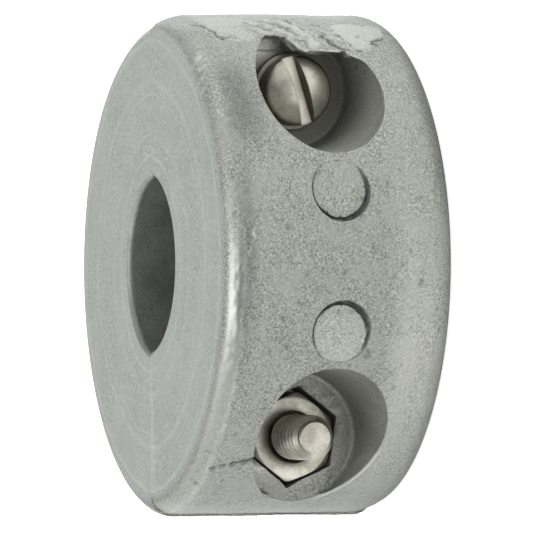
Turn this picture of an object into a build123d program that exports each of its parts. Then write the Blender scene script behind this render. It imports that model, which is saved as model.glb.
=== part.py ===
from build123d import *
import math
import os

# Split-collar zinc anode for a 3/4 in propeller shaft, in millimetres.
# Z is the shaft's axis and the collar stands on one end face at Z = 0. The halves meet on the
# plane Y = 0: the front half lies on -Y and the rear half, the same casting turned half a turn
# about Z, on +Y. Two screws draw them together along Y, one from each side.

# Collar
COLLAR_RADIUS = 27.0
BORE_RADIUS = 9.6
COLLAR_LENGTH = 25.4
SEAT_OFFSET = 1.8            # the arcs' centre lies this far past the mating face, for take-up
RIM_ROUND = 2.3              # outer edges of the two end faces
BORE_EDGE_ROUND = 0.5
HALF_SLIP = 0.3              # sideways step left between the halves when they were screwed up

# Screw: No. 10-24, 1 in long, slotted oval fillister head
THREAD_RADIUS = 2.4
SCREW_LENGTH = 24.9
TIP_CHAMFER = 0.75
HEAD_RADIUS = 3.7
HEAD_SIDE = 2.3
HEAD_DOME = 1.2
SLOT_WIDTH = 1.5
SLOT_DEPTH = 2.1
SLOT_TURN = 17.0             # degrees from pointing outward

# Split lock washer, pressed flat
WASHER_LIP = 0.45            # beyond the screw head, all round
WASHER_CLEARANCE = 0.15      # round the thread
WASHER_RADIUS = HEAD_RADIUS + WASHER_LIP
WASHER_BORE_RADIUS = THREAD_RADIUS + WASHER_CLEARANCE
WASHER_THICKNESS = 1.1
WASHER_GAP = 0.9
WASHER_GAP_SKEW = 20.0       # degrees

# Small-pattern hexagon nut
NUT_FLATS = 8.6
NUT_THICKNESS = 3.2
NUT_CHAMFER = 30.0           # degrees
NUT_CLEARANCE = 0.03         # round the thread
NUT_COUNTERSINK = 0.37       # beyond the nut's bore, all round
NUT_BORE_RADIUS = THREAD_RADIUS + NUT_CLEARANCE

# Screw lines, one on each side of the bore
SCREW_INSET = 8.6            # collar's rim to screw axis
SCREW_DROP = 0.2             # screw axis below mid-length
SCREW_HOLE_CLEARANCE = 0.3   # round the thread
SCREW_SPREAD = COLLAR_RADIUS - SCREW_INSET
SCREW_HEIGHT = COLLAR_LENGTH / 2 - SCREW_DROP
SCREW_HOLE_RADIUS = THREAD_RADIUS + SCREW_HOLE_CLEARANCE

# Screwdriver pocket, cast with draft, its floor under the lock washer
HEAD_FLOOR_DEPTH = 7.7       # mating face to pocket floor
HEAD_POCKET_RADIUS = 6.5     # at the floor
HEAD_POCKET_DRAFT = 1.9      # degrees
FLOOR_FILLET = 0.5           # where the wall of either pocket meets its floor

# Spanner pocket with a hexagonal recess that keeps the nut from turning
NUT_FLOOR_DEPTH = 9.0        # mating face to pocket floor
NUT_POCKET_RADIUS = 7.0
NUT_POCKET_DRAFT = 0.6
NUT_FIT = 0.3                # gap between the nut's flats and the recess
HEX_TURN = -7.5              # degrees from one corner pointing outward; minus is to the upper end face

# Flat seats left by the die's ejector pins
PIN_SEAT_RADIUS = 3.2
PIN_SEAT_SPREAD = 7.4
PIN_SEAT_SINK = 1.066        # below the curved side, at the pin's middle

# Torn wall that overhangs the front half's screwdriver pocket
TORN_WALL = 1.0
# Its ragged edge, as (distance out from the screw axis, height above it), from one side to the other
TORN_EDGE = [
    (3.0, 6.0), (4.5, 5.2), (5.7, 3.5), (5.5, 1.4), (4.1, 0.6), (3.8, 0.0), (4.0, -0.6),
    (3.9, -2.0), (3.8, -3.5), (4.0, -4.4), (3.4, -4.8), (2.9, -5.9), (2.0, -6.6),
]

CUT_MARGIN = 2.0             # how far a cutting tool runs past what it cuts


def outward(depth=0.0, x=0.0, z=SCREW_HEIGHT):
    """A location whose own Z points out of the front half, towards -Y."""
    return Location(Plane(origin=(x, -depth, z), x_dir=(1, 0, 0), z_dir=(0, -1, 0)))


def drafted_pocket(x, floor_depth, floor_radius, draft):
    """A round pocket that widens from its floor to the outside of the casting."""
    length = COLLAR_RADIUS + CUT_MARGIN - floor_depth
    mouth_radius = floor_radius + length * math.tan(math.radians(draft))
    cone = Cone(floor_radius, mouth_radius, length, align=(Align.CENTER, Align.CENTER, Align.MIN))
    floor_edge = cone.edges().group_by(Axis.Z)[0]
    return outward(floor_depth, x) * fillet(floor_edge, FLOOR_FILLET)


def pin_seat(x):
    """The flat left by an ejector pin, reaching from its seat to outside the casting."""
    surface_depth = math.sqrt(COLLAR_RADIUS**2 - x**2) - SEAT_OFFSET
    depth = surface_depth - PIN_SEAT_SINK
    pin = Cylinder(PIN_SEAT_RADIUS, COLLAR_RADIUS, align=(Align.CENTER, Align.CENTER, Align.MIN))
    return outward(depth, x) * pin


def collar_ring():
    """The collar's section, turned about the axis of one half's own arcs."""
    section = Plane.XZ * Pos((BORE_RADIUS + COLLAR_RADIUS) / 2, COLLAR_LENGTH / 2) * Rectangle(
        COLLAR_RADIUS - BORE_RADIUS, COLLAR_LENGTH
    )
    corners = section.vertices().sort_by(Axis.X)
    section = fillet(corners[2:], RIM_ROUND)
    corners = section.vertices().sort_by(Axis.X)
    section = fillet(corners[:2], BORE_EDGE_ROUND)
    return Pos(0, SEAT_OFFSET) * revolve(section, Axis.Z)


def torn_wall():
    """Metal left standing over the pocket, as thick as the torn wall and ragged at its edge."""
    inner = COLLAR_RADIUS - TORN_WALL
    shell = Cylinder(COLLAR_RADIUS + CUT_MARGIN, 2 * COLLAR_LENGTH) - Cylinder(inner, 2 * COLLAR_LENGTH)
    reach = COLLAR_RADIUS
    outline = Polyline(
        *[(out, height) for out, height in TORN_EDGE],
        (reach, TORN_EDGE[-1][1]),
        (reach, TORN_EDGE[0][1]),
        close=True,
    )
    patch = outward(0, SCREW_SPREAD) * extrude(make_face(outline), 2 * COLLAR_RADIUS)
    return (Pos(0, SEAT_OFFSET) * shell) & patch


def half_casting(torn=False):
    """One half of the collar, in the front half's place."""
    width = 2 * COLLAR_RADIUS + CUT_MARGIN
    front_side = Pos(0, -width / 2, COLLAR_LENGTH / 2) * Box(width, width, COLLAR_LENGTH + CUT_MARGIN)
    half = collar_ring() & front_side

    head_pocket = drafted_pocket(SCREW_SPREAD, HEAD_FLOOR_DEPTH, HEAD_POCKET_RADIUS, HEAD_POCKET_DRAFT)
    if torn:
        head_pocket = head_pocket - torn_wall()
    nut_pocket = drafted_pocket(-SCREW_SPREAD, NUT_FLOOR_DEPTH, NUT_POCKET_RADIUS, NUT_POCKET_DRAFT)

    recess_flats = NUT_FLATS + 2 * NUT_FIT
    hexagon = RegularPolygon(recess_flats / 2, 6, major_radius=False, rotation=HEX_TURN)
    seat_depth = NUT_FLOOR_DEPTH - NUT_THICKNESS
    hex_recess = outward(seat_depth, -SCREW_SPREAD) * extrude(hexagon, NUT_THICKNESS + CUT_MARGIN)

    half = half - head_pocket - nut_pocket - hex_recess
    for side in (-1, 1):
        hole = Cylinder(SCREW_HOLE_RADIUS, 2 * COLLAR_RADIUS)
        half = half - outward(0, side * SCREW_SPREAD) * hole
        half = half - pin_seat(side * PIN_SEAT_SPREAD)
    return Pos(HALF_SLIP / 2, 0) * half


def machine_screw():
    """The screw whose head lies in the front half's pocket."""
    seat = HEAD_FLOOR_DEPTH + WASHER_THICKNESS
    shank = Cylinder(THREAD_RADIUS, SCREW_LENGTH, align=(Align.CENTER, Align.CENTER, Align.MAX))
    tip = shank.edges().group_by(Axis.Z)[0]
    shank = chamfer(tip, TIP_CHAMFER)

    dome_radius = (HEAD_RADIUS**2 + HEAD_DOME**2) / (2 * HEAD_DOME)
    head_height = HEAD_SIDE + HEAD_DOME
    head = Cylinder(HEAD_RADIUS, head_height, align=(Align.CENTER, Align.CENTER, Align.MIN))
    head = head & Pos(0, 0, head_height - dome_radius) * Sphere(dome_radius)
    slot = Pos(0, 0, head_height) * Rot(0, 0, SLOT_TURN) * Box(
        2 * HEAD_RADIUS + CUT_MARGIN, SLOT_WIDTH, 2 * SLOT_DEPTH
    )
    return outward(seat, SCREW_SPREAD) * (shank + head - slot)


def lock_washer():
    """The split washer under the front screw's head, its ends on the side away from the top."""
    upright = (Align.CENTER, Align.CENTER, Align.MIN)
    ring = Cylinder(WASHER_RADIUS, WASHER_THICKNESS, align=upright)
    ring = ring - Cylinder(WASHER_BORE_RADIUS, WASHER_THICKNESS, align=upright)
    reach = WASHER_RADIUS + CUT_MARGIN
    gap = Rot(0, WASHER_GAP_SKEW, 0) * Box(WASHER_GAP, reach, 4 * WASHER_THICKNESS)
    ring = ring - Pos(0, -reach / 2, WASHER_THICKNESS / 2) * gap
    return outward(HEAD_FLOOR_DEPTH, SCREW_SPREAD) * ring


def hex_nut():
    """The nut in the front half's recess, on the rear screw."""
    hexagon = RegularPolygon(NUT_FLATS / 2, 6, major_radius=False, rotation=HEX_TURN)
    nut = extrude(hexagon, NUT_THICKNESS)
    corner_radius = NUT_FLATS / math.sqrt(3)
    drop = (corner_radius - NUT_FLATS / 2) * math.tan(math.radians(NUT_CHAMFER))
    upright = (Align.CENTER, Align.CENTER, Align.MIN)
    envelope = Cone(corner_radius, NUT_FLATS / 2, drop, align=upright)
    envelope = Pos(0, 0, NUT_THICKNESS - drop) * envelope
    envelope = envelope + Cylinder(corner_radius, NUT_THICKNESS - drop, align=upright)
    nut = (nut & envelope) - Cylinder(NUT_BORE_RADIUS, 3 * NUT_THICKNESS)
    mouth_limit = NUT_BORE_RADIUS + NUT_COUNTERSINK
    mouths = nut.edges().filter_by(GeomType.CIRCLE).filter_by(lambda e: e.radius < mouth_limit)
    nut = chamfer(mouths, NUT_COUNTERSINK)
    return outward(NUT_FLOOR_DEPTH - NUT_THICKNESS, -SCREW_SPREAD) * nut


def rear(shape):
    """The same piece on the rear half: half a turn about the shaft's axis."""
    return Rot(0, 0, 180) * shape


parts = {
    "front_half": half_casting(torn=True),
    "rear_half": rear(half_casting()),
    "front_screw": machine_screw(),
    "rear_screw": rear(machine_screw()),
    "front_lock_washer": lock_washer(),
    "rear_lock_washer": rear(lock_washer()),
    "front_nut": hex_nut(),
    "rear_nut": rear(hex_nut()),
}

os.makedirs("parts", exist_ok=True)
for name, shape in parts.items():
    export_step(shape, f"parts/{name}.step")
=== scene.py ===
import math

import bmesh
import bpy
import numpy as np
from mathutils import Matrix, Vector


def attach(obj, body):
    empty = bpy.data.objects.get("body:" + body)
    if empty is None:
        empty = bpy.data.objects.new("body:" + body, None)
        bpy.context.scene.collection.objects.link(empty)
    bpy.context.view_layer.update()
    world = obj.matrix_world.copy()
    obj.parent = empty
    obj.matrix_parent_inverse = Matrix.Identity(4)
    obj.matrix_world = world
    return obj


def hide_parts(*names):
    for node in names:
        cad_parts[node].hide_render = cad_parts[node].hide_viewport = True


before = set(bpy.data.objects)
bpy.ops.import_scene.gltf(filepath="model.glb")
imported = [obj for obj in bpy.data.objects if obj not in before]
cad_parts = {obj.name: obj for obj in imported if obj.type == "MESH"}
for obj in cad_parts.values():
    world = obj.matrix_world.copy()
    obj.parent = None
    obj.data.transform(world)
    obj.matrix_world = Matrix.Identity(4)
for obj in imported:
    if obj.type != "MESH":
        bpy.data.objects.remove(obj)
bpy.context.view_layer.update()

# ---------------------------------------------------------------------------------------------
# Camera. A long lens in front of the front half and about 20 degrees above level, turned on its
# side so that the shaft's axis lies across the frame, with the upper end face to the left.

CAMERA_YAW = math.radians(-0.626)
CAMERA_HEIGHT = math.radians(19.602)
CAMERA_ROLL = math.radians(0.084)
CAMERA_DISTANCE = 0.668979
LENS_MM, SENSOR_MM = 419.19, 36.0
SHIFT_ACROSS, SHIFT_UP = -0.003676, -0.002927
AIM = Vector((0, 0, 0.012))

back = Vector((
    math.sin(CAMERA_YAW) * math.cos(CAMERA_HEIGHT),
    -math.cos(CAMERA_YAW) * math.cos(CAMERA_HEIGHT),
    math.sin(CAMERA_HEIGHT),
))
side = -(Vector((0, 0, 1)) - back * back.z).normalized()
upward = back.cross(side)
camera_x = side * math.cos(CAMERA_ROLL) + upward * math.sin(CAMERA_ROLL)
camera_y = upward * math.cos(CAMERA_ROLL) - side * math.sin(CAMERA_ROLL)

lens = bpy.data.cameras.new("camera")
lens.sensor_width = SENSOR_MM
lens.lens = LENS_MM
lens.shift_x, lens.shift_y = SHIFT_ACROSS, SHIFT_UP
lens.clip_start, lens.clip_end = 0.01, 20
camera = bpy.data.objects.new("camera", lens)
turned = Matrix((camera_x, camera_y, back)).transposed().to_4x4()
camera.matrix_world = Matrix.Translation(AIM + back * CAMERA_DISTANCE) @ turned
bpy.context.scene.collection.objects.link(camera)
bpy.context.scene.camera = camera

# ---------------------------------------------------------------------------------------------
# Collar halves. Two zinc castings, die-cast with drafted pockets for the screws and their nuts.
# The end faces are turned after casting; the curved side keeps its as-cast skin, and on the front
# half the wall over the screwdriver pocket has torn and folded.

MM = 0.001
COLLAR_RADIUS, BORE_RADIUS, COLLAR_LENGTH = 27.0, 9.6, 25.4
SEAT_OFFSET = 1.8            # a half's arcs are centred this far past its mating face
HALF_SLIP = 0.15             # the front half stands this far towards +X, the rear half towards -X
SCREW_SPREAD, SCREW_HEIGHT = 18.4, 12.5
HEAD_FLOOR, HEAD_POCKET_RADIUS = 7.7, 6.5
NUT_FLOOR, NUT_POCKET_RADIUS = 9.0, 7.0
PIN_SEAT_RADIUS, PIN_SEAT_SPREAD = 3.2, 7.4
PIN_SEAT_RISE = 0.42         # a seat's middle stands this far out of the CAD's seat
CASTING_TRIANGLES = 190000


def fine_copy(node, grid):
    """A node's shape on an even grid, in millimetres, as a new mesh."""
    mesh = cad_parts[node].data.copy()
    mesh.transform(Matrix.Scale(1 / MM, 4))
    work = bpy.data.objects.new("work", mesh)
    bpy.context.scene.collection.objects.link(work)
    remesh = work.modifiers.new("grid", "REMESH")
    remesh.mode, remesh.voxel_size = "VOXEL", grid
    graph = bpy.context.evaluated_depsgraph_get()
    fine = bpy.data.meshes.new_from_object(work.evaluated_get(graph))
    bpy.data.objects.remove(work)
    return fine


def vectors_of(items, field):
    flat = np.empty(len(items) * 3, np.float32)
    items.foreach_get(field, flat)
    return flat.reshape(-1, 3).astype(float)


def smooth_step(value, low, high):
    t = np.clip((value - low) / (high - low), 0, 1)
    return t * t * (3 - 2 * t)


def waves(points, size, seed, count=14):
    """Soft random relief between about -1 and 1, with swells of the given size in millimetres."""
    rng = np.random.default_rng(seed)
    total = np.zeros(len(points))
    for _ in range(count):
        direction = rng.normal(size=3)
        direction /= np.linalg.norm(direction)
        length = size * rng.uniform(0.7, 1.6)
        total += np.sin(points @ direction * 2 * np.pi / length + rng.uniform(0, 2 * np.pi))
    return total / math.sqrt(count)


def finish_mesh(mesh, triangles=None, rounded=()):
    """Round an edge where points are listed, thin a mesh where it is flat, and bring it to metres."""
    mesh.transform(Matrix.Scale(MM, 4))
    mesh.polygons.foreach_set("use_smooth", [True] * len(mesh.polygons))
    work = bpy.data.objects.new("work", mesh)
    bpy.context.scene.collection.objects.link(work)
    if len(rounded):
        work.vertex_groups.new(name="rounded").add([int(i) for i in rounded], 1.0, "REPLACE")
        soften = work.modifiers.new("soften", "SMOOTH")
        soften.factor, soften.iterations, soften.vertex_group = 0.5, 14, "rounded"
    if triangles and len(mesh.polygons) * 2 > triangles:
        thin = work.modifiers.new("thin", "DECIMATE")
        thin.ratio = triangles / (len(mesh.polygons) * 2)
    shade = work.modifiers.new("shade", "WEIGHTED_NORMAL")
    shade.keep_sharp = True
    graph = bpy.context.evaluated_depsgraph_get()
    mesh = bpy.data.meshes.new_from_object(work.evaluated_get(graph))
    bpy.data.objects.remove(work)
    return mesh


def line_distance(u, z, line):
    """How far each place on the skin lies from a broken line drawn on it."""
    best = np.full(len(u), 1e9)
    for (u0, z0), (u1, z1) in zip(line, line[1:]):
        du, dz = u1 - u0, z1 - z0
        t = np.clip(((u - u0) * du + (z - z0) * dz) / (du * du + dz * dz), 0, 1)
        best = np.minimum(best, np.hypot(u - u0 - t * du, z - z0 - t * dz))
    return best


def within(u, z, outline, soft):
    """1 inside a closed outline on the skin and 0 outside it, with a soft border."""
    odd = np.zeros(len(u), bool)
    for (u0, z0), (u1, z1) in zip(outline, outline[1:] + outline[:1]):
        crosses = (z0 > z) != (z1 > z)
        odd ^= crosses & (u < (u1 - u0) * (z - z0) / ((z1 - z0) or 1e-9) + u0)
    border = line_distance(u, z, outline + outline[:1])
    return np.where(odd, 0.5 + 0.5 * smooth_step(border, 0, soft), 0.5 - 0.5 * smooth_step(border, 0, soft))


# Places on the skin are (u, z): millimetres round the curved side from the half's middle, towards
# the screwdriver pocket, and millimetres up the shaft from the lower end face
SKIN_REACH = 42.0            # round the side, to just short of the split
PAINTED_BAND_HEIGHT, PAINTED_BAND_WIDTH = 22.95, 0.75
STAIN_U, STAIN_Z, STAIN_LENGTH, STAIN_WIDTH = 18.4, 22.0, 5.8, 2.3
BURR_OFFSET, BURR_WIDTH, BURR_HEIGHT = 0.20, 0.20, 0.13
TEAR_EDGE = [(30.6, 15.9), (29.3, 15.5), (29.4, 14.0), (28.3, 13.8), (26.8, 13.4), (25.8, 12.7),
             (26.4, 11.6), (26.2, 10.4), (26.0, 8.6), (25.3, 7.6), (24.6, 6.3), (22.6, 5.8), (19.8, 5.4)]
CRACKS = [  # line, half-width, depth
    ([(33.1, 22.8), (32.0, 22.2), (30.7, 21.8), (29.6, 21.6), (28.8, 21.0), (28.9, 20.2)], 0.14, 0.30),
    ([(30.3, 9.5), (29.3, 9.4), (27.9, 9.1), (27.2, 8.6), (26.7, 8.1), (26.5, 7.5)], 0.15, 0.32),
    ([(30.5, 7.9), (29.1, 7.5), (27.0, 6.9), (26.5, 6.1)], 0.10, 0.16),
    ([(35.2, 12.0), (33.9, 11.9)], 0.09, 0.14),
    ([(33.4, 9.5), (33.0, 8.6)], 0.09, 0.14),
    ([(29.2, 2.9), (28.6, 4.3), (27.8, 4.2)], 0.22, 0.07),
    ([(-24.6, 21.3), (-24.2, 20.2), (-23.8, 19.3)], 0.30, 0.26),
    ([(33.4, 7.7), (33.9, 5.6), (33.3, 3.7)], 0.08, 0.06),
]
SLIVERS = [  # raised shavings of bright metal: line, half-width, height
    ([(29.3, 8.7), (29.0, 8.1), (28.5, 7.6), (27.2, 7.3), (26.4, 6.9)], 0.13, 0.14),
    # This one, by the pin seat on the spanner pocket's side, is a raised strip with a painted glint
    ([(-7.3, 9.4), (-8.0, 9.6), (-8.8, 9.9)], 0.15, 0.14),
    ([(0.7, 23.1), (2.1, 22.7), (3.5, 22.2)], 0.09, 0.04),
    ([(17.4, 24.6), (16.4, 24.2)], 0.09, 0.04),
    ([(-8.5, 1.6), (-7.8, 1.7)], 0.10, 0.04),
]
FOLDS = [  # metal pushed into folds along the tear: line, half-width, height
    ([(33.4, 16.4), (32.3, 15.0), (30.6, 13.9), (28.9, 12.6)], 0.62, 0.24),
    ([(34.4, 14.2), (32.8, 12.6), (30.6, 11.9), (28.2, 11.5), (27.3, 11.0)], 0.58, 0.30),
    ([(33.8, 11.6), (31.8, 10.9), (29.6, 10.5), (27.2, 10.0)], 0.46, 0.20),
    ([(31.4, 9.2), (29.6, 8.9), (28.0, 8.2), (26.6, 7.6)], 0.34, 0.17),
    ([(31.6, 17.0), (30.8, 16.2), (30.3, 15.2)], 0.60, 0.24),
]
PEELED_SKIN = [(30.0, 22.4), (29.2, 21.6), (28.3, 20.4), (28.0, 19.4), (28.5, 17.8), (29.3, 16.9),
               (34.5, 16.6), (36.0, 19.0), (35.0, 22.5)]
SMEARED_SKIN = [(33.3, 7.6), (33.7, 5.6), (33.2, 3.9), (32.5, 2.3), (30.3, 2.3), (28.9, 3.8), (27.1, 4.8),
                (26.5, 6.0), (27.0, 6.7), (29.1, 7.4), (30.5, 7.8)]
NICKS = [  # knocks on the rim that show fresh metal: u, z, radius, depth
    (25.4, 24.6, 0.50, 0.15), (24.0, 24.8, 0.36, 0.10), (22.4, 25.0, 0.42, 0.14), (21.0, 25.1, 0.30, 0.08),
]
PITS = [  # on the front half: u, z, radius, depth
    (5.1, 24.2, 0.26, 0.18), (1.0, 5.2, 0.24, 0.12), (-9.8, 9.3, 0.24, 0.12), (-7.3, 1.6, 0.26, 0.12),
    (-5.1, 2.2, 0.20, 0.10), (28.8, 16.4, 0.40, 0.12), (-24.9, 22.4, 0.38, 0.20), (-25.2, 23.4, 0.26, 0.14),
    (-28.6, 24.3, 0.30, 0.14), (-22.9, 24.5, 0.24, 0.12),
]
SCATTERED_PITS = 90


def close_split(points, grid):
    """Sharpen the long edges of the mating face again, so that the two halves close without a line."""
    for plane in (0.0, COLLAR_LENGTH):
        corner = (np.abs(points[:, 1]) < 0.8 * grid) & (np.abs(points[:, 2] - plane) < 0.8 * grid)
        points[corner, 1], points[corner, 2] = 0.0, plane


def skin_places(points, sign):
    """Each point's (u, z) on the skin and its depth below the curved side."""
    # sign is 1 on the front half and -1 on the rear half, the same casting turned half a turn
    x, out = points[:, 0] * sign - HALF_SLIP, -points[:, 1] * sign + SEAT_OFFSET
    return COLLAR_RADIUS * np.arctan2(x, out), points[:, 2], COLLAR_RADIUS - np.hypot(x, out)


class Skin:
    """One half's curved side: its places, how far each is pushed outward, and its marks from 0 to 1."""

    def __init__(self, points, normals, sign, seed):
        self.points, self.normals, self.sign, self.seed = points, normals, sign, seed
        self.across, self.out = points[:, 0] * sign - HALF_SLIP, -points[:, 1] * sign
        self.u, self.z, self.depth = skin_places(points, sign)
        self.whole = smooth_step(self.depth, 2.7, 2.3) * (np.abs(self.u) < SKIN_REACH)
        self.shallow = smooth_step(self.depth, 1.5, 1.1)
        self.ragged_u = self.u + 0.16 * waves(points, 0.9, seed + 8)
        self.ragged_z = self.z + 0.16 * waves(points, 0.8, seed + 9)
        # As cast, the skin swells and ripples softly, a little under the CAD's side
        self.push = 0.035 * waves(points, 6.0, seed) + 0.016 * waves(points, 1.1, seed + 4) - 0.05
        self.push *= smooth_step(np.abs(normals[:, 2]), 0.9, 0.5) * self.whole
        self.marks = {kind: np.zeros(len(points)) for kind in ("dark_marks_and_shade", "bare_metal_and_highlight", "rubbed_and_highlight")}

    def mark(self, kind, amount):
        self.marks[kind] = np.maximum(self.marks[kind], amount)

    def spot(self, centre_u, centre_z, radius):
        """1 at a place on the skin, falling away over the radius with a ragged outline."""
        away = (self.ragged_u - centre_u)**2 + (self.ragged_z - centre_z)**2
        return np.exp(-away / radius**2) * self.whole

    def stroke(self, line, half_width):
        """1 along a broken line on the skin, falling away over the half-width."""
        return np.exp(-(line_distance(self.ragged_u, self.ragged_z, line) / half_width)**2) * self.whole


def sink_pits(skin):
    """Small pits scattered over either half, and larger ones at their own places on the front half."""
    rng = np.random.default_rng(skin.seed)
    pits = [(rng.uniform(-38, 36), rng.uniform(1.5, 24), rng.uniform(0.12, 0.3), rng.uniform(0.03, 0.09))
            for _ in range(SCATTERED_PITS)]
    for centre_u, centre_z, radius, sunk in (PITS if skin.sign > 0 else []) + pits:
        bowl = skin.spot(centre_u, centre_z, radius)
        skin.push -= sunk * bowl
        skin.mark("dark_marks_and_shade", 0.6 * bowl)


def mark_pin_seats(skin):
    """The ejector pins' flats: raised, most on their inner side, each in a broken groove, and rubbed."""
    for side, rub in ((-1, 0.55), (1, 0.15)):
        across = (skin.across - side * PIN_SEAT_SPREAD) * side
        ring = np.hypot(across, skin.z - SCREW_HEIGHT)
        seat = smooth_step(PIN_SEAT_RADIUS - 0.06 - ring, 0, 0.12) * (skin.u * side > 0)
        seat *= (skin.depth > -0.5) * (skin.depth < 3)
        skin.push += seat * PIN_SEAT_RISE * (1 - across / PIN_SEAT_RADIUS)
        broken = 0.55 + 0.45 * np.clip(waves(skin.points, 1.2, skin.seed + 20), -1, 1)
        groove = np.exp(-((ring - PIN_SEAT_RADIUS + 0.05) / 0.09)**2) * skin.whole * broken
        skin.push -= 0.05 * groove
        skin.mark("dark_marks_and_shade", 0.6 * groove)
        skin.mark("rubbed_and_highlight", rub * seat)


def skin_tones_and_painted_light(skin):
    """Colour on the skin that moves no metal: paler and darker bands, painted shade and painted highlights.
    """
    u, z, facing_up = skin.u, skin.z, skin.normals[:, 2]
    # The skin is paler towards the lower end, most of all from the middle to the spanner pocket
    pale_spread = 0.2 + 0.8 * np.exp(-((u + 11) / 15)**2)
    skin.mark("rubbed_and_highlight", smooth_step(skin.ragged_z, 8.5, 4.5) * skin.whole * pale_spread)
    # A painted dark band, standing in for a dark reflection, lies on the side just under the rim of the
    # upper end face
    painted_dark_band = np.exp(-((skin.ragged_z - PAINTED_BAND_HEIGHT) / PAINTED_BAND_WIDTH)**2) * skin.whole
    skin.mark("dark_marks_and_shade", (0.14 * smooth_step(u, -16, -6) + 0.36 * np.exp(-((u - 1) / 9)**2)) * painted_dark_band)
    # Painted shade darkens the side below the upper rim towards the split on the spanner pocket's side, away
    # from the lamp beside the collar
    skin.mark("dark_marks_and_shade", 0.26 * smooth_step(-u, 24, 34) * smooth_step(z, 23.2, 21.8) * skin.whole)
    # The rim of the upper end face gets a pale painted highlight on that side too
    pale_rim = smooth_step(facing_up, 0.05, 0.35) * smooth_step(facing_up, 0.97, 0.80)
    pale_rim *= smooth_step(z, 22.8, 23.4) * smooth_step(-u, 7, 15)
    skin.mark("rubbed_and_highlight", pale_rim)
    skin.mark("bare_metal_and_highlight", 0.25 * pale_rim)
    # The skin is darker along the edge that it stands on, most on the screwdriver pocket's side
    darkened_foot = smooth_step(skin.ragged_z, 2.6, 0.6) * (0.10 + 0.34 * smooth_step(u, 2, 14))
    skin.mark("dark_marks_and_shade", darkened_foot * (skin.depth < 2.6))


def close_nut_floor(skin):
    """How far the skin swells on the spanner pocket's open side, where the floor is a full round."""
    open_side = math.sqrt(COLLAR_RADIUS**2 - (NUT_FLOOR + SEAT_OFFSET)**2)
    from_edge = np.hypot(skin.across + open_side, skin.out - NUT_FLOOR)
    reach = SCREW_SPREAD + np.sqrt(np.clip(NUT_POCKET_RADIUS**2 - (skin.z - SCREW_HEIGHT)**2, 0, None))
    swell = np.clip(reach - open_side, 0, None) * smooth_step(from_edge, 1.9, 0.0)
    # A thin painted shadow lies along the floor's open edge, where the skin swells over it
    skin.mark("dark_marks_and_shade", 0.55 * np.exp(-(from_edge / 0.17)**2) * (swell > 0))
    return swell


def raise_burr(skin):
    """A burr of bright metal along the mouth of the spanner pocket, on its lower side."""
    from_nut = np.hypot(skin.across + SCREW_SPREAD, skin.z - SCREW_HEIGHT)
    burr = np.exp(-((from_nut - NUT_POCKET_RADIUS - BURR_OFFSET) / BURR_WIDTH)**2) * skin.whole
    burr *= smooth_step(SCREW_HEIGHT - skin.z, 2.6, 3.4) * smooth_step(-skin.across - SCREW_SPREAD, 1.0, 2.2)
    skin.mark("bare_metal_and_highlight", burr)
    uneven = 0.8 + 0.2 * np.clip(waves(skin.points, 1.6, skin.seed + 30), -1, 1)
    skin.push += BURR_HEIGHT * burr * uneven


def tear_and_knock(skin):
    """The damage to the front half: the torn wall's crumpled skin, and cracks, nicks and slivers."""
    stain = np.exp(-((skin.ragged_u - STAIN_U) / STAIN_LENGTH)**4
                   - ((skin.ragged_z - STAIN_Z) / STAIN_WIDTH)**2) * skin.whole
    skin.mark("dark_marks_and_shade", 0.6 * stain)
    for line, half_width, sunk in CRACKS:
        cleft = skin.stroke(line, half_width)
        skin.push -= sunk * cleft
        skin.mark("dark_marks_and_shade", cleft)
    # The folds wander; their backs get a painted highlight, and the creases at their feet are darkened
    lobed_u = skin.ragged_u + 0.34 * waves(skin.points, 2.3, skin.seed + 15)
    lobed_z = skin.ragged_z + 0.34 * waves(skin.points, 2.0, skin.seed + 16)
    fold = np.zeros(len(lobed_u))
    for line, half_width, height in FOLDS:
        fold = np.maximum(fold, height * np.exp(-(line_distance(lobed_u, lobed_z, line) / half_width)**2))
    skin.push += fold * skin.shallow
    skin.mark("bare_metal_and_highlight", smooth_step(fold, 0.06, 0.26) * 0.45 * skin.shallow)
    crease = smooth_step(fold, 0.010, 0.045) * smooth_step(fold, 0.11, 0.055) * skin.shallow
    skin.mark("dark_marks_and_shade", 0.34 * crease)
    for centre_u, centre_z, radius, sunk in NICKS:
        knock = skin.spot(centre_u, centre_z, radius)
        skin.push -= sunk * knock
        skin.mark("bare_metal_and_highlight", 0.45 * knock)
    # On either side of the folds the skin has peeled, or metal has been smeared over it
    peeled = within(skin.ragged_u, skin.ragged_z, PEELED_SKIN, 0.18) * skin.shallow
    smeared = within(skin.ragged_u, skin.ragged_z, SMEARED_SKIN, 0.25) * skin.shallow
    skin.push += 0.12 * peeled + 0.07 * smeared
    skin.mark("rubbed_and_highlight", np.maximum(0.45 * peeled, 0.7 * smeared))
    skin.mark("bare_metal_and_highlight", np.maximum(0.05 * peeled, 0.18 * smeared))
    from_tear = line_distance(skin.u, skin.z, TEAR_EDGE)
    near_tear = smooth_step(from_tear, 1.1, 0.1) * skin.shallow * smooth_step(skin.z, 5.8, 8.0)
    skin.push += 0.09 * near_tear * waves(skin.points, 1.1, skin.seed + 12)
    skin.mark("bare_metal_and_highlight", 0.4 * near_tear)
    for line, half_width, height in SLIVERS:
        strip = skin.stroke(line, half_width)
        skin.push += height * strip
        skin.mark("bare_metal_and_highlight", strip)


def wear_skin(points, normals, sign, seed):
    """The curved side as it is now: new points, and a mask of each kind of mark."""
    skin = Skin(points, normals, sign, seed)
    sink_pits(skin)
    mark_pin_seats(skin)
    skin_tones_and_painted_light(skin)
    swell = close_nut_floor(skin)
    if sign > 0:
        raise_burr(skin)
        tear_and_knock(skin)
    worn = points + normals * skin.push[:, None]
    worn[:, 0] -= sign * swell
    return worn, skin.marks


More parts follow.
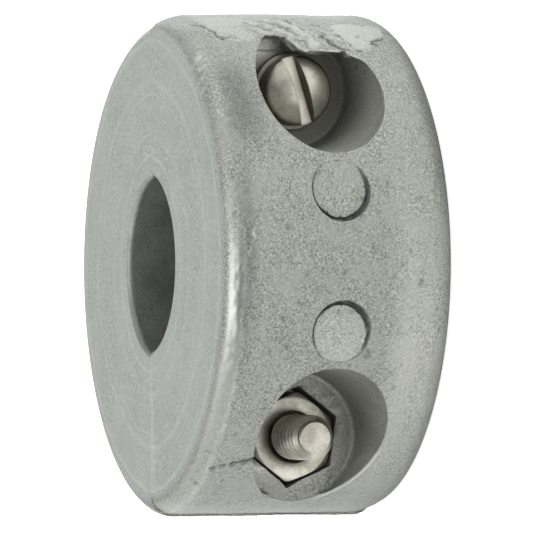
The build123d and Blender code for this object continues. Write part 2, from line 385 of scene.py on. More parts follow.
def zinc_masks(points, normals, sign):
    """Masks of where a casting is turned and lines the bore, of painted shade and painted light in its
    pockets, and of its rim's painted highlight and polish.
    """
    u, z, depth = skin_places(points, sign)
    out = -points[:, 1] * sign
    turned_face = smooth_step(np.abs(z - COLLAR_LENGTH / 2), 12.45, 12.62) * smooth_step(depth, 1.0, 2.2)
    across = points[:, 0] * sign - HALF_SLIP
    head, nut = [
        smooth_step(radius + 0.9 - np.hypot(across - spread, z - SCREW_HEIGHT), 0, 0.3)
        * smooth_step(out, floor - 4, floor - 3.4) * smooth_step(depth, 0.1, 3.0)
        for spread, floor, radius in ((SCREW_SPREAD, HEAD_FLOOR, HEAD_POCKET_RADIUS),
                                      (-SCREW_SPREAD, NUT_FLOOR, NUT_POCKET_RADIUS))
    ]
    bore = smooth_step(BORE_RADIUS + 0.55 - (COLLAR_RADIUS - depth), 0, 0.3)
    # Painted shade, brown-grey, darkens the screwdriver pocket's floor, its walls less and under the tear
    # hardly at all, and the spanner pocket faintly
    floor_share = smooth_step(np.abs(normals[:, 1]), 0.5, 0.9)
    lit_under_tear = smooth_step(across - SCREW_SPREAD, 2.0, 4.5) * smooth_step(z - SCREW_HEIGHT, -0.5, 2.5)
    pocket_shade = np.maximum(head * (0.12 + 0.88 * floor_share) * (1 - 0.95 * lit_under_tear), nut * 0.08)
    lit_low_side = smooth_step(z - SCREW_HEIGHT - across - SCREW_SPREAD, -3.0, 5.0)
    # Painted light lightens the screwdriver pocket under the tear and a little on its walls, and the whole
    # spanner pocket, most of all on the low side of its floor
    pocket_light = np.maximum(head * np.maximum(1.4 * lit_under_tear, 0.21 * (1 - floor_share)),
                       nut * (0.25 + 0.30 * lit_low_side * floor_share))
    # The rim of the upper end face gets a painted highlight and a polish, most of all about the middle of
    # each half
    rim = smooth_step(normals[:, 2], 0.0, 0.40) * smooth_step(normals[:, 2], 0.92, 0.70)
    rim *= smooth_step(z, 23.0, 23.5) * smooth_step(depth, 2.6, 2.2)
    rim *= (0.12 + 0.88 * np.exp(-((u + 5) / np.where(u > -5, 8, 16))**2)) * smooth_step(u, -26, -12)
    return {"turned": turned_face, "pocket_shade": pocket_shade, "bore": bore, "pocket_light": pocket_light, "rim": rim}


def linear(code):
    """An sRGB hex colour as linear values."""
    parts = [int(code[i:i + 2], 16) / 255 for i in (0, 2, 4)]
    return [p / 12.92 if p <= 0.04045 else ((p + 0.055) / 1.055) ** 2.4 for p in parts] + [1.0]


def add(tree, kind, inputs=None, **settings):
    """Add a node; each input, found by its name or number, is a value or the socket that feeds it."""
    made = tree.nodes.new("ShaderNode" + kind)
    for name, value in settings.items():
        setattr(made, name, value)
    for name, value in (inputs or {}).items():
        live = [s for s in made.inputs if s.enabled and s.name == name]
        socket = live[0] if live else made.inputs[name]
        if isinstance(value, bpy.types.NodeSocket):
            tree.links.new(value, socket)
        else:
            socket.default_value = value
    return made


def new_material(name):
    material = bpy.data.materials.new(name)
    material.use_nodes = True
    material.node_tree.nodes.clear()
    return material, material.node_tree


# Die-cast zinc, dulled by air: mostly a matt grey film with some metal's sheen, so it shades like
# fine stone. Granular where the die's skin is whole, closer-grained and ringed where it was turned,
# pale where it is rubbed and brightest where it has torn. Brown-grey painted shade darkens the
# pockets, painted light lightens parts of them, and painted highlights and painted dark bands lie on
# the rim and the side. The finest grain is drawn 0.22 mm wide, coarser than it is, so that it shows.
zinc, tree = new_material("zinc_die_cast_and_turned")
place = add(tree, "TexCoord").outputs["Object"]
mask = {name: add(tree, "Attribute", attribute_name=name).outputs["Fac"]
        for name in ("turned", "pocket_shade", "bore", "pocket_light", "rim", "dark_marks_and_shade", "bare_metal_and_highlight", "rubbed_and_highlight")}
grain = add(tree, "TexNoise", {"Vector": place, "Scale": 1 / (0.22 * MM), "Detail": 3.0, "Roughness": 0.7})
grit = add(tree, "TexNoise", {"Vector": place, "Scale": 1 / (0.55 * MM), "Detail": 4.0, "Roughness": 0.65})
mottle = add(tree, "TexNoise", {"Vector": place, "Scale": 1 / (3.2 * MM), "Detail": 5.0, "Roughness": 0.6})
clouds = add(tree, "TexNoise", {"Vector": place, "Scale": 1 / (7.0 * MM), "Detail": 3.0, "Roughness": 0.5})
pits = add(tree, "TexVoronoi", {"Vector": place, "Scale": 1 / (0.8 * MM), "Randomness": 1.0})
speckle = add(tree, "MapRange", {"Value": grain.outputs["Fac"], "From Min": 0.34, "From Max": 0.66})
cast = add(tree, "Mix", {
    "Factor": speckle.outputs["Result"], "A": linear("595b55"), "B": linear("b5b7b1"),
}, data_type="RGBA")
for pattern, low, high, at_low, at_high, colour in (
        (grit.outputs["Fac"], 0.36, 0.62, 0.35, 0.0, "80827b"),
        (mottle.outputs["Fac"], 0.42, 0.62, 0.0, 0.6, "989a94"),
        (pits.outputs["Distance"], 0.10, 0.24, 0.35, 0.0, "4e5049")):
    share = add(tree, "MapRange", {"Value": pattern, "From Min": low, "From Max": high,
                                   "To Min": at_low, "To Max": at_high})
    cast = add(tree, "Mix", {
        "Factor": share.outputs["Result"], "A": cast.outputs[2], "B": linear(colour),
    }, data_type="RGBA")
# The turned face keeps a soft grain, cloudy patches and the tool's faint rings, which are round each
# half's own centre, on the far side of the split
across = add(tree, "VectorMath", {0: place, 1: (1.0, 1.0, 0.0)}, operation="MULTIPLY")
across = add(tree, "VectorMath", {0: across.outputs["Vector"]}, operation="ABSOLUTE")
from_centre = add(tree, "VectorMath", {0: across.outputs["Vector"], 1: (0.0, SEAT_OFFSET * MM, 0.0)},
                  operation="ADD")
radius = add(tree, "VectorMath", {0: from_centre.outputs["Vector"]}, operation="LENGTH")
swirl = add(tree, "Math", {0: clouds.outputs["Fac"], 1: 1.2 * MM}, operation="MULTIPLY")
ring = add(tree, "Math", {0: radius.outputs["Value"], 1: swirl.outputs["Value"]}, operation="ADD")
rings_across = add(tree, "CombineXYZ", {"X": ring.outputs["Value"]})
tool_marks = add(tree, "TexNoise", {"Vector": rings_across.outputs["Vector"], "Scale": 1 / (1.1 * MM),
                                    "Detail": 5.0, "Roughness": 0.72})
drawn = add(tree, "VectorMath", {0: place, 1: (1.0, 0.4, 1.0)}, operation="MULTIPLY")
patches = add(tree, "TexNoise", {"Vector": drawn.outputs["Vector"], "Scale": 1 / (2.6 * MM), "Detail": 4.0,
                                 "Roughness": 0.6})
face = add(tree, "Mix", {
    "Factor": speckle.outputs["Result"], "A": linear("81867f"), "B": linear("b9beb8"),
}, data_type="RGBA")
for pattern, low, high, most, colour in ((tool_marks, 0.52, 0.64, 0.6, "c2c7c1"),
                                         (patches, 0.45, 0.66, 0.4, "989e98"),
                                         (clouds, 0.40, 0.66, 0.4, "aeb3ad")):
    share = add(tree, "MapRange", {"Value": pattern.outputs["Fac"], "From Min": low, "From Max": high,
                                   "To Max": most})
    face = add(tree, "Mix", {
        "Factor": share.outputs["Result"], "A": face.outputs[2], "B": linear(colour),
    }, data_type="RGBA")
tint = add(tree, "Mix", {"Factor": mask["turned"], "A": cast.outputs[2], "B": face.outputs[2]},
           data_type="RGBA")
# Paler where rubbed and under painted highlights, and lightened by painted light in the pockets
for name, most, colour in (("rubbed_and_highlight", 0.85, "737470"), ("pocket_light", 1.0, "a8a79d")):
    share = add(tree, "MapRange", {"Value": mask[name], "To Max": most})
    tint = add(tree, "Mix", {"Factor": share.outputs["Result"], "A": tint.outputs[2], "B": linear(colour)},
               data_type="RGBA", blend_type="ADD")
# The bore's lining is blotched, and darkest on the spanner pocket's side of the front half
blotch = add(tree, "MapRange", {"Value": mottle.outputs["Fac"], "From Min": 0.38, "From Max": 0.62})
lining = add(tree, "Mix", {"Factor": blotch.outputs["Result"], "A": linear("a9aea6"), "B": linear("878d86")},
             data_type="RGBA")
one_side = add(tree, "SeparateXYZ", {"Vector": place})
darker_side = add(tree, "MapRange", {"Value": one_side.outputs["X"], "From Min": -BORE_RADIUS * MM,
                               "From Max": 0.7 * BORE_RADIUS * MM, "To Min": 0.85, "To Max": 0.0})
lining = add(tree, "Mix", {"Factor": darker_side.outputs["Result"], "A": lining.outputs[2], "B": linear("454a44")},
             data_type="RGBA")
lined = add(tree, "MapRange", {"Value": mask["bore"], "To Max": 0.8})
tint = add(tree, "Mix", {"Factor": lined.outputs["Result"], "A": tint.outputs[2], "B": lining.outputs[2]},
           data_type="RGBA")
# Brown-grey painted shade in the pockets, the rim's painted highlight, bare metal and painted highlights,
# and dark marks and painted shade
for name, most, colour in (("pocket_shade", 0.8, "6d6b62"), ("rim", 0.75, "b3b5af"),
                           ("bare_metal_and_highlight", 0.75, "d2d4cc"), ("dark_marks_and_shade", 0.8, "3a3b35")):
    share = add(tree, "MapRange", {"Value": mask[name], "To Max": most})
    tint = add(tree, "Mix", {"Factor": share.outputs["Result"], "A": tint.outputs[2], "B": linear(colour)},
               data_type="RGBA")
# Turned metal is smoother than cast, and the rim, polished by handling, is smoothest and most metallic
bumps = add(tree, "Math", {0: grain.outputs["Fac"], 1: grit.outputs["Fac"]}, operation="ADD")
smoother = add(tree, "MapRange", {"Value": mask["turned"], "To Min": 1.0, "To Max": 0.5})
polished = add(tree, "MapRange", {"Value": mask["rim"], "To Min": 1.0, "To Max": 0.15})
smoother = add(tree, "Math", {0: smoother.outputs["Result"], 1: polished.outputs["Result"]},
               operation="MULTIPLY")
relief = add(tree, "Bump", {"Height": bumps.outputs["Value"], "Distance": 0.05 * MM,
                            "Strength": smoother.outputs["Value"]})
metal = add(tree, "MapRange", {"Value": mask["rim"], "To Min": 0.6, "To Max": 0.92})
rough = add(tree, "MapRange", {"Value": mask["rim"], "To Min": 0.46, "To Max": 0.30})
shader = add(tree, "BsdfPrincipled", {
    "Base Color": tint.outputs[2], "Metallic": metal.outputs["Result"], "Roughness": rough.outputs["Result"],
    "Normal": relief.outputs["Normal"],
})
add(tree, "OutputMaterial", {"Surface": shader.outputs["BSDF"]})

REAR_CROWN_WEAR = 0.55
FRONT_CROWN_WEAR, FRONT_RIM_WEAR, LOWER_RIM_WEAR = 0.16, 0.44, 0.18
BOX_X, BOX_Y = 27.08, 25.18  # just inside the castings' box, which wear may not pass


def wear_crown(points, sign):
    """Wear the crowns down: the rear half's more than the front's, so that the two meet in a step."""
    x, y, z = points.T
    if sign < 0:
        arc = np.hypot(x + HALF_SLIP, y + SEAT_OFFSET)
        x -= REAR_CROWN_WEAR * smooth_step(x, 14, 26.9) * smooth_step(arc, 22.0, 24.5)
    else:
        # The front half's crown is worn towards the upper rim, and its other side at the lower rim
        towards_rim = FRONT_CROWN_WEAR * smooth_step(z, 12, 22) + FRONT_RIM_WEAR * smooth_step(z, 21.6, 24.0)
        x -= towards_rim * smooth_step(x, 24.4, 27.0)
        x += LOWER_RIM_WEAR * smooth_step(-x, 24.0, 26.8) * smooth_step(z, 3.2, 1.2)


def pocket_lip(points, sign):
    """The points on the lower side of the screwdriver pocket's mouth, where it is blunted."""
    _, z, depth = skin_places(points, sign)
    from_screw = np.hypot(points[:, 0] * sign - HALF_SLIP - SCREW_SPREAD, z - SCREW_HEIGHT)
    at_mouth = (from_screw > HEAD_POCKET_RADIUS - 0.2) & (from_screw < HEAD_POCKET_RADIUS + 0.9)
    return np.flatnonzero(at_mouth & (depth < 0.7) & (z < SCREW_HEIGHT - 2.5))


for name, node, sign, grid, seed in (("front_casting", "front_half", 1, 0.12, 4),
                                     ("rear_casting", "rear_half", -1, 0.18, 2)):
    mesh = fine_copy(node, grid)
    points, normals = vectors_of(mesh.vertices, "co"), vectors_of(mesh.vertex_normals, "vector")
    masks = zinc_masks(points, normals, sign)
    points, marks = wear_skin(points, normals, sign, seed)
    wear_crown(points, sign)
    blunt = pocket_lip(points, sign)
    points[:, 0] = np.clip(points[:, 0], -BOX_X, BOX_X)
    points[:, 1] = np.clip(points[:, 1], -BOX_Y, BOX_Y)
    close_split(points, grid)
    mesh.vertices.foreach_set("co", points.astype(np.float32).ravel())
    for kind, values in {**masks, **marks}.items():
        made = mesh.attributes.new(kind, "FLOAT", "POINT")
        made.data.foreach_set("value", np.clip(values, 0, 1).astype(np.float32))
    mesh = finish_mesh(mesh, CASTING_TRIANGLES, blunt)
    mesh.materials.clear()
    mesh.materials.append(zinc)
    half = bpy.data.objects.new(name, mesh)
    bpy.context.scene.collection.objects.link(half)
    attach(half, "root")
    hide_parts(node)

# ---------------------------------------------------------------------------------------------
# Screws. No. 10-24 stainless machine screws, an inch long, with slotted oval heads; the thread is
# rolled, the slot is sawn and lightly burred by a screwdriver, and the tip is chamfered.

WASHER_THICKNESS = 1.1
SCREW_SEAT = HEAD_FLOOR + WASHER_THICKNESS
INCH, THREADS_PER_INCH = 25.4, 24
PITCH = INCH / THREADS_PER_INCH
THREAD_RADIUS, THREAD_DEPTH = 2.4, 0.573
SCREW_LENGTH, TIP_CHAMFER = 24.9, 0.75
HEAD_RADIUS, HEAD_SIDE, HEAD_DOME = 3.7, 2.3, 1.2
SLOT_WIDTH, SLOT_DEPTH, SLOT_TURN = 1.5, 2.1, math.radians(17)
ROUND_STEPS, DOME_STEPS, SLOT_STEPS = 96, 44, 61
ROUND_ANGLES = np.arange(ROUND_STEPS) * 2 * np.pi / ROUND_STEPS
# One turn of the thread's form: (share of the pitch, share of the depth)
THREAD_FORM = (
    (0.0, 0.0), (0.05, 0.02), (0.09, 0.08), (0.345, 0.93), (0.39, 0.99),
    (0.5, 1.0), (0.61, 0.99), (0.655, 0.93), (0.91, 0.08), (0.95, 0.02),
)


def round_row(radius, height):
    """A row of points about the axis; either size may differ from point to point."""
    radius, height = np.broadcast_to(radius, ROUND_STEPS), np.broadcast_to(height, ROUND_STEPS)
    return np.stack([radius * np.cos(ROUND_ANGLES), radius * np.sin(ROUND_ANGLES), height], 1)


def helix(low, high, start, limit, extra=0.0):
    """Rows of a right-hand thread from low to high; limit(z, radius) trims it at the ends."""
    first = math.floor((low - start) / PITCH) - 2
    last = math.ceil((high - start) / PITCH) + 1
    rows = []
    for turn in range(first, last):
        for share, depth in THREAD_FORM:
            z = np.clip(start + PITCH * (turn + share + ROUND_ANGLES / (2 * np.pi)), low, high)
            radius = limit(z, THREAD_RADIUS + extra - THREAD_DEPTH * depth)
            rows.append(round_row(radius, z))
    return np.array(rows)


def helix_faces(rows):
    """Faces between the rows of a thread; where a turn ends, they run on into the next."""
    count, step, turn = len(rows), ROUND_STEPS, len(THREAD_FORM)
    faces = []
    for j in range(count - 1):
        for i in range(step):
            if i + 1 < step:
                corners = ((j, i), (j, i + 1), (j + 1, i + 1), (j + 1, i))
            elif j + turn + 1 < count:
                corners = ((j, i), (j + turn, 0), (j + turn + 1, 0), (j + 1, i))
            else:
                continue
            faces.append([a * step + b for a, b in corners])
    return faces


def ring_faces(count, size):
    """Faces between neighbouring rows, each a closed ring of the given number of points."""
    return [[j * size + i, j * size + (i + 1) % size, (j + 1) * size + (i + 1) % size, (j + 1) * size + i]
            for j in range(count - 1) for i in range(size)]


def tube_faces(sections):
    """Faces of a tube through closed sections, its two ends among them."""
    count, size = sections.shape[:2]
    return ring_faces(count, size) + [list(range(size))[::-1], [(count - 1) * size + i for i in range(size)]]


def closed_mesh(name, groups):
    """One mesh from (points, faces) groups, its doubled points merged and its round ends filled."""
    shape = bmesh.new()
    for points, faces in groups:
        made = [shape.verts.new(p) for p in points.reshape(-1, 3)]
        for face in faces:
            shape.faces.new([made[i] for i in face])
    bmesh.ops.remove_doubles(shape, verts=shape.verts, dist=1e-4)
    bmesh.ops.dissolve_degenerate(shape, dist=1e-5, edges=shape.edges)
    lone = [v for v in shape.verts if not v.link_faces]
    bmesh.ops.delete(shape, geom=lone, context="VERTS")
    bmesh.ops.holes_fill(shape, edges=[e for e in shape.edges if len(e.link_faces) == 1], sides=0)
    bmesh.ops.recalc_face_normals(shape, faces=shape.faces)
    mesh = bpy.data.meshes.new(name)
    shape.to_mesh(mesh)
    shape.free()
    return mesh


def outward(mesh, depth, spread, rear):
    """Lay a piece made along its own Z on a screw line, Z pointing out of its half."""
    place = Matrix(((1, 0, 0, spread), (0, 0, -1, -depth), (0, 1, 0, SCREW_HEIGHT), (0, 0, 0, 1)))
    mesh.transform(Matrix.Rotation(math.pi, 4, "Z") @ place if rear else place)


def shank_limit(z, radius):
    tip = THREAD_RADIUS - TIP_CHAMFER + np.clip(z + SCREW_LENGTH, 0, TIP_CHAMFER)
    plain = smooth_step(z, -1.6, -0.6)
    return np.minimum(radius * (1 - plain) + THREAD_RADIUS * plain, tip)


def dome(r):
    sphere = (HEAD_RADIUS**2 + HEAD_DOME**2) / (2 * HEAD_DOME)
    return HEAD_SIDE + HEAD_DOME - sphere + math.sqrt(sphere**2 - r**2)


thread_rows = helix(-SCREW_LENGTH, 0.0, 0.0, shank_limit)
head_profile = [(THREAD_RADIUS, 0.0), (HEAD_RADIUS - 0.12, 0.0), (HEAD_RADIUS - 0.03, 0.04),
                (HEAD_RADIUS, 0.12), (HEAD_RADIUS, HEAD_SIDE - 0.3), (HEAD_RADIUS, HEAD_SIDE - 0.16),
                (HEAD_RADIUS - 0.03, HEAD_SIDE - 0.05), (HEAD_RADIUS - 0.1, HEAD_SIDE + 0.01)]
head_profile += [(r, dome(r) - 0.06 * (r / HEAD_RADIUS)**6)
                 for r in np.linspace(HEAD_RADIUS - 0.2, 0.03, DOME_STEPS)]
head_rows = np.array([round_row(r, z) for r, z in head_profile])
screw_mesh = closed_mesh("screw", [
    (thread_rows, helix_faces(thread_rows)), (head_rows, ring_faces(len(head_rows), ROUND_STEPS)),
])

# The saw's cut, flared at the lips so that they come out rounded
half_width, lip = SLOT_WIDTH / 2, 0.1
slot_floor = HEAD_SIDE + HEAD_DOME - SLOT_DEPTH
slot_x, slot_y = math.cos(SLOT_TURN), math.sin(SLOT_TURN)
sections = []
for a in np.linspace(-HEAD_RADIUS - 0.6, HEAD_RADIUS + 0.6, SLOT_STEPS):
    top = dome(min(math.hypot(a, half_width), HEAD_RADIUS))
    right = [(half_width - 0.12, slot_floor), (half_width - 0.03, slot_floor + 0.04),
             (half_width, slot_floor + 0.12), (half_width, top - lip),
             (half_width + 0.25 * lip, top - 0.35 * lip), (half_width + lip, top + 0.02),
             (half_width + lip, top + 3)]
    left = [(-s, z) for s, z in reversed(right)]
    sections.append([(a * slot_x - s * slot_y, a * slot_y + s * slot_x, z) for s, z in right + left])
sections = np.array(sections)
saw = bpy.data.objects.new("saw", closed_mesh("saw", [(sections, tube_faces(sections))]))
blank = bpy.data.objects.new("blank", screw_mesh)
for work in (saw, blank):
    bpy.context.scene.collection.objects.link(work)
cut = blank.modifiers.new("slot", "BOOLEAN")
cut.operation, cut.solver, cut.object = "DIFFERENCE", "EXACT", saw
graph = bpy.context.evaluated_depsgraph_get()
screw_mesh = bpy.data.meshes.new_from_object(blank.evaluated_get(graph))
for work in (saw, blank):
    bpy.data.objects.remove(work)

# Stainless steel, turned and rolled: a warm grey metal, satin rather than bright, stained and
# scuffed in service, with brown painted shade in its hollows and a painted highlight on the slot's floor.
# The finest scuffs are drawn 0.22 mm wide, coarser than they are, so that they show.
stainless, tree = new_material("stainless_steel_turned")
place = add(tree, "TexCoord").outputs["Object"]
grimy = add(tree, "Attribute", attribute_name="grime").outputs["Fac"]
painted_highlight = add(tree, "Attribute", attribute_name="painted_highlight").outputs["Fac"]
dull = add(tree, "TexNoise", {"Vector": place, "Scale": 1 / (1.9 * MM), "Detail": 5.0, "Roughness": 0.6})
scuff = add(tree, "TexNoise", {"Vector": place, "Scale": 1 / (0.22 * MM), "Detail": 3.0, "Roughness": 0.6})
dull_mix = add(tree, "MapRange", {"Value": dull.outputs["Fac"], "From Min": 0.40, "From Max": 0.62})
steel = add(tree, "Mix", {
    "Factor": dull_mix.outputs["Result"], "A": linear("c4c1b7"), "B": linear("a7a499"),
}, data_type="RGBA")
scuff_mix = add(tree, "MapRange", {"Value": scuff.outputs["Fac"], "From Min": 0.35, "From Max": 0.6,
                                   "To Min": 0.28, "To Max": 0.0})
steel = add(tree, "Mix", {
    "Factor": scuff_mix.outputs["Result"], "A": steel.outputs[2], "B": linear("7d7a6c"),
}, data_type="RGBA")
# Brown painted shade, and the pale painted highlight on the slot's floor
for worn, most, colour in ((grimy, 0.85, "4b473a"), (painted_highlight, 0.55, "dcd6ca")):
    share = add(tree, "MapRange", {"Value": worn, "To Max": most})
    steel = add(tree, "Mix", {"Factor": share.outputs["Result"], "A": steel.outputs[2], "B": linear(colour)},
                data_type="RGBA")
relief = add(tree, "Bump", {"Height": scuff.outputs["Fac"], "Distance": 0.014 * MM, "Strength": 0.6})
rough = add(tree, "MapRange", {"Value": dull.outputs["Fac"], "From Min": 0.3, "From Max": 0.7,
                               "To Min": 0.34, "To Max": 0.44})
shader = add(tree, "BsdfPrincipled", {
    "Base Color": steel.outputs[2], "Metallic": 1.0, "Roughness": rough.outputs["Result"],
    "Normal": relief.outputs["Normal"],
})
add(tree, "OutputMaterial", {"Surface": shader.outputs["BSDF"]})


def steel_piece(name, node, mesh, grime, painted_highlight=0.0):
    """A finished piece of hardware; its painted shade and painted highlight are given from 0 to 1 at each of
    its points.
    """
    for kind, values in (("grime", grime), ("painted_highlight", painted_highlight)):
        made = mesh.attributes.new(kind, "FLOAT", "POINT")
        made.data.foreach_set("value", np.broadcast_to(values, len(mesh.vertices)).astype(np.float32))
    mesh.set_sharp_from_angle(angle=math.radians(40))
    mesh = finish_mesh(mesh)
    mesh.materials.clear()
    mesh.materials.append(stainless)
    piece = bpy.data.objects.new(name, mesh)
    bpy.context.scene.collection.objects.link(piece)
    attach(piece, "root")
    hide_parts(node)


# Painted shade lies in the slot, round the edge and the side of the head and down in the thread,
# and the tip is darkened a little; the slot's floor gets a painted highlight
shape = vectors_of(screw_mesh.vertices, "co")
radius, height = np.hypot(shape[:, 0], shape[:, 1]), shape[:, 2]
across_slot = np.abs(shape[:, 1] * slot_x - shape[:, 0] * slot_y)
in_slot = (across_slot < SLOT_WIDTH / 2 + 0.02) & (height > slot_floor - 0.02)
screw_painted_highlight = np.where(in_slot & (height < slot_floor + 0.05), 1.0, 0.0)
screw_grime = np.where(in_slot & (height >= slot_floor + 0.05), 0.75, 0.0)
tip_start = -SCREW_LENGTH + TIP_CHAMFER
in_thread = (height < -0.05) & (height > tip_start)
for grime in (smooth_step(radius, 3.35, 3.68) * smooth_step(height, 2.5, 1.4) * (height > 0),
              0.75 * smooth_step(radius, 3.28, 3.6) * (height > HEAD_SIDE - 0.4),
              in_thread * smooth_step(THREAD_RADIUS - radius, 0.05, 0.32),
              0.22 * (height <= tip_start)):
    screw_grime = np.maximum(screw_grime, grime)
for name, node, rear in (("front_machine_screw", "front_screw", False),
                         ("rear_machine_screw", "rear_screw", True)):
    mesh = screw_mesh.copy()
    outward(mesh, SCREW_SEAT, SCREW_SPREAD, rear)
    steel_piece(name, node, mesh, screw_grime, screw_painted_highlight)

# ---------------------------------------------------------------------------------------------
# Lock washers. Square-section split spring washers in stainless steel, pressed flat under the
# screw heads, each with its skewed gap on the side away from the collar's upper face.

WASHER_RADIUS, WASHER_BORE, WASHER_EDGE = 4.15, 2.55, 0.12
WASHER_GAP, WASHER_SKEW, WASHER_STEPS = 0.9, math.radians(20), 97

section = []
for r, z, flip in ((WASHER_BORE, 0, 1), (WASHER_RADIUS, 0, 0),
                   (WASHER_RADIUS, WASHER_THICKNESS, 1), (WASHER_BORE, WASHER_THICKNESS, 0)):
    inward_r = 1 if r == WASHER_BORE else -1
    inward_z = 1 if z == 0 else -1
    bend = [(r + inward_r * WASHER_EDGE * (1 - math.sin(t)), z + inward_z * WASHER_EDGE * (1 - math.cos(t)))
            for t in np.linspace(0, math.pi / 2, 4)]
    section += bend[::-1] if flip else bend
half_gap = WASHER_GAP / 2 / math.cos(WASHER_SKEW)
coil = []
for share in np.linspace(0, 1, WASHER_STEPS):
    ring = []
    for r, z in section:
        lean = (z - WASHER_THICKNESS / 2) * math.tan(WASHER_SKEW)
        start = -math.pi / 2 + math.asin((half_gap + lean) / r)
        stop = 1.5 * math.pi - math.asin((half_gap - lean) / r)
        angle = start + (stop - start) * share
        ring.append((r * math.cos(angle), r * math.sin(angle), z))
    coil.append(ring)
coil = np.array(coil)
washer_mesh = closed_mesh("washer", [(coil, tube_faces(coil))])
for name, node, rear in (("front_spring_washer", "front_lock_washer", False),
                         ("rear_spring_washer", "rear_lock_washer", True)):
    mesh = washer_mesh.copy()
    outward(mesh, HEAD_FLOOR, SCREW_SPREAD, rear)
    # Painted shade darkens the whole washer, which lies under the screw's head
    steel_piece(name, node, mesh, 0.7)

# ---------------------------------------------------------------------------------------------
# Nuts. Small-pattern stainless hexagon nuts, chamfered on the outer face and countersunk, each
# held from turning by a hexagonal recess in its casting and run down on the opposite screw.

NUT_FLATS, NUT_THICKNESS, NUT_TURN = 8.6, 3.2, math.radians(-7.5)
NUT_CHAMFER = math.tan(math.radians(30))
NUT_CLEARANCE, NUT_COUNTERSINK = 0.03, 0.37
NUT_BORE = THREAD_RADIUS + NUT_CLEARANCE

# A corner of the hexagon lies at NUT_TURN from the nut's own X
sixth = (ROUND_ANGLES - NUT_TURN) % (math.pi / 3) - math.pi / 6
hexagon = np.minimum(NUT_FLATS / 2 / np.cos(sixth), NUT_FLATS / math.sqrt(3) - 0.12)
crown = NUT_THICKNESS - np.maximum(hexagon - NUT_FLATS / 2 + 0.05, 0) * NUT_CHAMFER
edge = NUT_FLATS / 2 - 0.05
nut_rows = [round_row(NUT_BORE + NUT_COUNTERSINK, 0), round_row(3.4, 0), round_row(hexagon - 0.1, 0),
            round_row(hexagon - 0.03, 0.03), round_row(hexagon, 0.1), round_row(hexagon, crown - 0.1),
            round_row(hexagon, crown - 0.05), round_row(hexagon - 0.03, crown)]
for share in (0.9, 0.6, 0.3, 0.08):
    reach = edge + (hexagon - 0.03 - edge) * share
    nut_rows.append(round_row(reach, NUT_THICKNESS - np.maximum(reach - edge, 0) * NUT_CHAMFER))
nut_rows += [round_row(edge - 0.1, NUT_THICKNESS), round_row(3.6, NUT_THICKNESS),
             round_row(NUT_BORE + NUT_COUNTERSINK + 0.06, NUT_THICKNESS),
             round_row(NUT_BORE + NUT_COUNTERSINK, NUT_THICKNESS - 0.03)]
nut_rows = np.array(nut_rows)


def bore_limit(z, radius):
    flare = np.maximum(NUT_COUNTERSINK - z, z - (NUT_THICKNESS - 0.03 - NUT_COUNTERSINK))
    return np.maximum(radius, NUT_BORE + np.where(flare > 0, flare, -9))


thread_start = -(SCREW_SEAT + NUT_FLOOR - NUT_THICKNESS) - PITCH / 2
nut_thread = helix(0.0, NUT_THICKNESS - 0.03, thread_start, bore_limit, NUT_CLEARANCE)
nut_mesh = closed_mesh("nut", [
    (nut_rows, ring_faces(len(nut_rows), ROUND_STEPS)), (nut_thread, helix_faces(nut_thread)),
])
# Painted shade lies in the nut's thread and countersink and at its corners, and darkens the ring
# round its bore on the side towards the upper end face
shape = vectors_of(nut_mesh.vertices, "co")
radius = np.hypot(shape[:, 0], shape[:, 1])
nut_grime = np.maximum(0.25 * smooth_step(radius, NUT_BORE + NUT_COUNTERSINK + 0.1, NUT_BORE + 0.1),
                       0.6 * smooth_step(radius, 4.25, 4.85))
nut_grime = np.maximum(nut_grime, 0.4 * smooth_step(radius, 4.1, 3.0) * smooth_step(shape[:, 1], 0.2, 2.4))
for name, node, rear in (("front_hex_nut", "front_nut", False), ("rear_hex_nut", "rear_nut", True)):
    mesh = nut_mesh.copy()
    outward(mesh, NUT_FLOOR - NUT_THICKNESS, -SCREW_SPREAD, rear)
    steel_piece(name, node, mesh, nut_grime)

# ---------------------------------------------------------------------------------------------
# Floor and light. The collar stands on its lower end face on a pale floor in a white tent, with
# a soft lamp above and another beside it.

floor_mesh = bpy.data.meshes.new("floor")
floor_mesh.from_pydata([(-8, -8, 0), (8, -8, 0), (8, 8, 0), (-8, 8, 0)], [], [(0, 1, 2, 3)])
floor = bpy.data.objects.new("floor", floor_mesh)
bpy.context.scene.collection.objects.link(floor)
floor_paint, tree = new_material("pale_floor_matt")
seen = add(tree, "LightPath")
direct = add(tree, "Math", {0: seen.outputs["Is Camera Ray"], 1: seen.outputs["Is Glossy Ray"]},
             operation="MAXIMUM")
direct = add(tree, "Math", {0: direct.outputs[0], 1: seen.outputs["Is Transmission Ray"]},
             operation="MAXIMUM")
# Close to the collar the floor is in its shade, and so darker in the metal's reflections
from_axis = add(tree, "VectorMath", {0: add(tree, "TexCoord").outputs["Object"]}, operation="LENGTH")
FLOOR_GLOW, SHADED_GLOW, SHADE_REACH = 0.8, 0.1, 36.0
open_floor = add(tree, "MapRange", {
    "Value": from_axis.outputs["Value"], "From Min": COLLAR_RADIUS * MM, "From Max": SHADE_REACH * MM,
    "To Min": SHADED_GLOW, "To Max": FLOOR_GLOW,
})
seen_glow = add(tree, "Mix", {"Factor": seen.outputs["Is Glossy Ray"], "A": FLOOR_GLOW,
                              "B": open_floor.outputs["Result"]})
glow_strength = add(tree, "Math", {0: direct.outputs[0], 1: seen_glow.outputs[0]}, operation="MULTIPLY")
matt = add(tree, "BsdfDiffuse", {"Color": linear("f4f4f4")})
glow = add(tree, "Emission", {"Color": (1, 1, 1, 1), "Strength": glow_strength.outputs[0]})
both = add(tree, "AddShader", {0: matt.outputs["BSDF"], 1: glow.outputs["Emission"]})
add(tree, "OutputMaterial", {"Surface": both.outputs["Shader"]})
floor_mesh.materials.append(floor_paint)

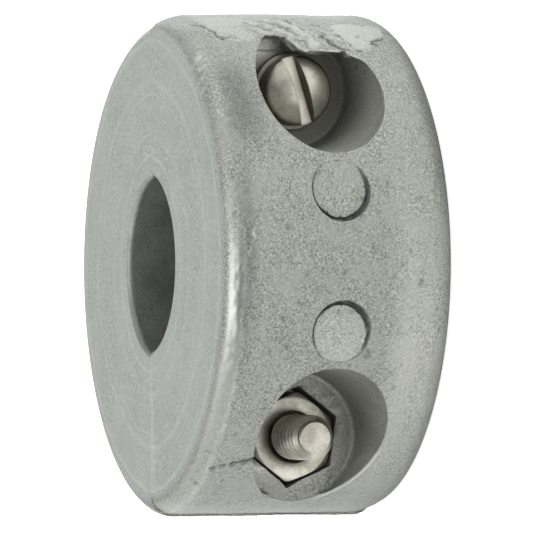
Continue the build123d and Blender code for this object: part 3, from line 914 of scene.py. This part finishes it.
# The tent is open, and so darker in reflections, on the side that it is looked into from
OPENING_TOWARDS = (0.0, -0.942, 0.335)
world = bpy.data.worlds.new("tent")
world.use_nodes = True
tree = world.node_tree
tree.nodes.clear()
seen = add(tree, "LightPath")
towards = add(tree, "TexCoord").outputs["Generated"]
facing = add(tree, "VectorMath", {0: towards, 1: OPENING_TOWARDS}, operation="DOT_PRODUCT")
opening = add(tree, "MapRange", {"Value": facing.outputs["Value"], "From Min": 0.82, "From Max": 0.97,
                                 "To Min": 1.0, "To Max": 0.35})
plain = add(tree, "Math", {0: seen.outputs["Is Camera Ray"], 1: seen.outputs["Is Transmission Ray"]},
            operation="MAXIMUM")
# Its light is weaker from the side away from the lamp beside the collar
one_side = add(tree, "SeparateXYZ", {"Vector": towards})
uneven = add(tree, "MapRange", {"Value": one_side.outputs["X"], "From Min": -1.0, "From Max": 1.0,
                                "To Min": 0.46, "To Max": 0.84})
dimmer = add(tree, "MapRange", {"Value": one_side.outputs["X"], "From Min": -0.9, "From Max": 0.0,
                                "To Min": 0.66, "To Max": 1.0})
mirrored = add(tree, "Math", {0: opening.outputs["Result"], 1: dimmer.outputs["Result"]},
               operation="MULTIPLY")
level = add(tree, "Mix", {"Factor": seen.outputs["Is Glossy Ray"], "A": uneven.outputs["Result"],
                          "B": mirrored.outputs[0]})
level = add(tree, "Mix", {"Factor": plain.outputs[0], "A": level.outputs[0], "B": 1.0})
tent = add(tree, "Background", {"Color": (1, 1, 1, 1), "Strength": level.outputs[0]})
add(tree, "OutputWorld", {"Surface": tent.outputs["Background"]})
bpy.context.scene.world = world


def lamp(name, place, size, watts):
    """A square soft lamp aimed at the collar."""
    light = bpy.data.lights.new(name, "AREA")
    light.shape, light.size, light.energy = "SQUARE", size, watts
    made = bpy.data.objects.new(name, light)
    made.location = place
    made.rotation_euler = (Vector(place) - AIM).to_track_quat("Z", "Y").to_euler()
    bpy.context.scene.collection.objects.link(made)


lamp("lamp_above", (-0.03, -0.24, 0.52), 0.5, 1.35)
lamp("lamp_beside", (0.6, -0.05, 0.25), 0.35, 0.9)

bpy.context.scene.view_settings.view_transform = "Standard"
